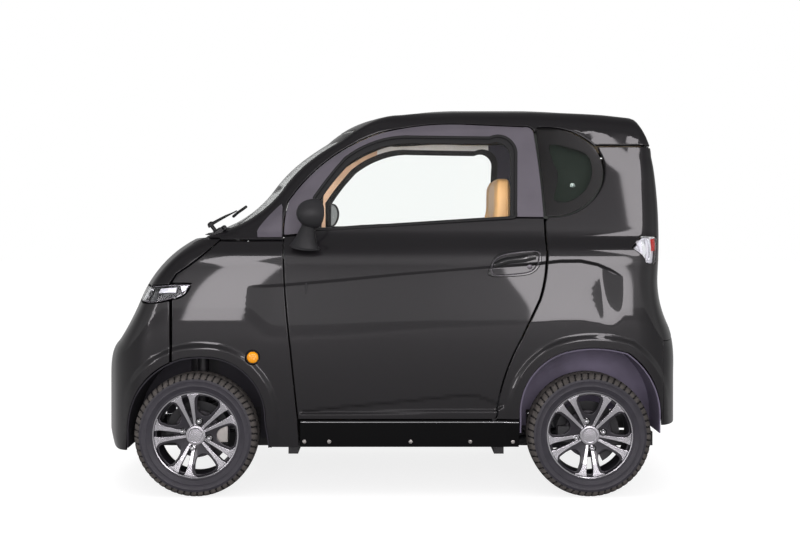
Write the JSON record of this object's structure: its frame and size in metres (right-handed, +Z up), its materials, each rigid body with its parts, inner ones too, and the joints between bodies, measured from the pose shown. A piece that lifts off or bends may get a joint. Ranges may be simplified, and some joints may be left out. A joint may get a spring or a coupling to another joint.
{
  "type": "two-seat electric microcar",
  "caption": "Small one-box electric car with two side doors, bonnet, tailgate, steered front wheels and alloy wheels.",
  "frame": {"origin": "on the floor, in the middle of the car's length and width", "axes": "+X to the nose, +Y to the car's left, +Z up"},
  "size_m": [2.4999, 1.582, 1.634],
  "materials": {
    "body_paint": "dark grey metallic gloss",
    "clear_glass": "clear",
    "dark_glass": "tinted",
    "black_plastic": "fine grain",
    "lamp_clear": "clear lens",
    "amber": "amber lens",
    "steel": "black chassis paint",
    "battery_case": "satin",
    "alloy": "machined face, dark painted recesses",
    "tyre": "black rubber",
    "steering_rubber": "soft",
    "tan_leather": "smooth"
  },
  "bodies": {
    "body": {"arch_liners": "black_plastic", "battery_box": "battery_case", "chassis_rails": "steel", "cowl_panel": "black_plastic", "dashboard": "black_plastic", "drive_motor": "battery_case", "floor_tub": "steel", "front_bumper": "body_paint", "front_fenders": "body_paint", "front_suspension": "steel", "headlamps": "lamp_clear", "hinge_posts": "steel", "quarter_glasses": "dark_glass", "rear_axle": "steel", "rear_bumper": "body_paint", "rear_quarters": "body_paint", "roof_frame": "body_paint", "seat_backs": "tan_leather", "seat_cushions": "tan_leather", "seat_frames": "steel", "side_indicators": "amber", "sill_covers": "black_plastic", "steering_column": "battery_case", "tail_lamps": "lamp_clear", "windscreen": "clear_glass", "wiper": "black_plastic"},
    "bonnet_body": {"bonnet": "body_paint"},
    "tailgate_body": {"tailgate": "body_paint", "tailgate_glass": "dark_glass"},
    "door_left_body": {"door_left": "body_paint", "door_glass_left": "clear_glass", "mirror_left": "black_plastic", "handle_left": "black_plastic"},
    "door_right_body": {"door_right": "body_paint", "door_glass_right": "clear_glass", "mirror_right": "black_plastic", "handle_right": "black_plastic"},
    "knuckle_left_body": {"knuckle_left": "steel"},
    "knuckle_right_body": {"knuckle_right": "steel"},
    "steering_wheel_body": {"steering_wheel": "steering_rubber"},
    "wheel_front_left": {"rim_front_left": "alloy", "tyre_front_left": "tyre"},
    "wheel_front_right": {"rim_front_right": "alloy", "tyre_front_right": "tyre"},
    "wheel_rear_left": {"rim_rear_left": "alloy", "tyre_rear_left": "tyre"},
    "wheel_rear_right": {"rim_rear_right": "alloy", "tyre_rear_right": "tyre"}
  },
  "joints": [
    {"name": "bonnet_hinge", "type": "hinge", "parent": "body", "child": "bonnet_body", "pos_m": [0.69, 0, 1.105], "axis": [0, -1, 0], "range_deg": [0, 50]},
    {"name": "tailgate_hinge", "type": "hinge", "parent": "body", "child": "tailgate_body", "pos_m": [-1.142, 0, 1.44], "axis": [0, 1, 0], "range_deg": [0, 75]},
    {"name": "door_left_hinge", "type": "hinge", "parent": "body", "child": "door_left_body", "pos_m": [0.342, 0.624, 0.7], "axis": [0, 0, -1], "range_deg": [0, 65]},
    {"name": "door_right_hinge", "type": "hinge", "parent": "body", "child": "door_right_body", "pos_m": [0.342, -0.624, 0.7], "axis": [0, 0, 1], "range_deg": [0, 65]},
    {"name": "steer_left", "type": "hinge", "parent": "body", "child": "knuckle_left_body", "pos_m": [0.797, 0.525, 0.254], "axis": [0, 0, 1], "range_deg": [-30, 30]},
    {"name": "steer_right", "type": "hinge", "parent": "body", "child": "knuckle_right_body", "pos_m": [0.797, -0.525, 0.254], "axis": [0, 0, 1], "range_deg": [-30, 30]},
    {"name": "steering_wheel_turn", "type": "hinge", "parent": "body", "child": "steering_wheel_body", "pos_m": [0.118, 0.235, 0.905], "axis": [-0.9063, 0, 0.4226], "range_deg": [-420, 420]},
    {"name": "spin_front_left", "type": "hinge", "parent": "knuckle_left_body", "child": "wheel_front_left", "pos_m": [0.797, 0.548, 0.254], "axis": [0, 1, 0], "continuous": true},
    {"name": "spin_front_right", "type": "hinge", "parent": "knuckle_right_body", "child": "wheel_front_right", "pos_m": [0.797, -0.548, 0.254], "axis": [0, 1, 0], "continuous": true},
    {"name": "spin_rear_left", "type": "hinge", "parent": "body", "child": "wheel_rear_left", "pos_m": [-0.819, 0.548, 0.254], "axis": [0, 1, 0], "continuous": true},
    {"name": "spin_rear_right", "type": "hinge", "parent": "body", "child": "wheel_rear_right", "pos_m": [-0.819, -0.548, 0.254], "axis": [0, 1, 0], "continuous": true}
  ],
  "couplings": [
    {"joint": "steer_right", "follows": "steer_left", "ratio": 1},
    {"joint": "steering_wheel_turn", "follows": "steer_left", "ratio": 14}
  ]
}
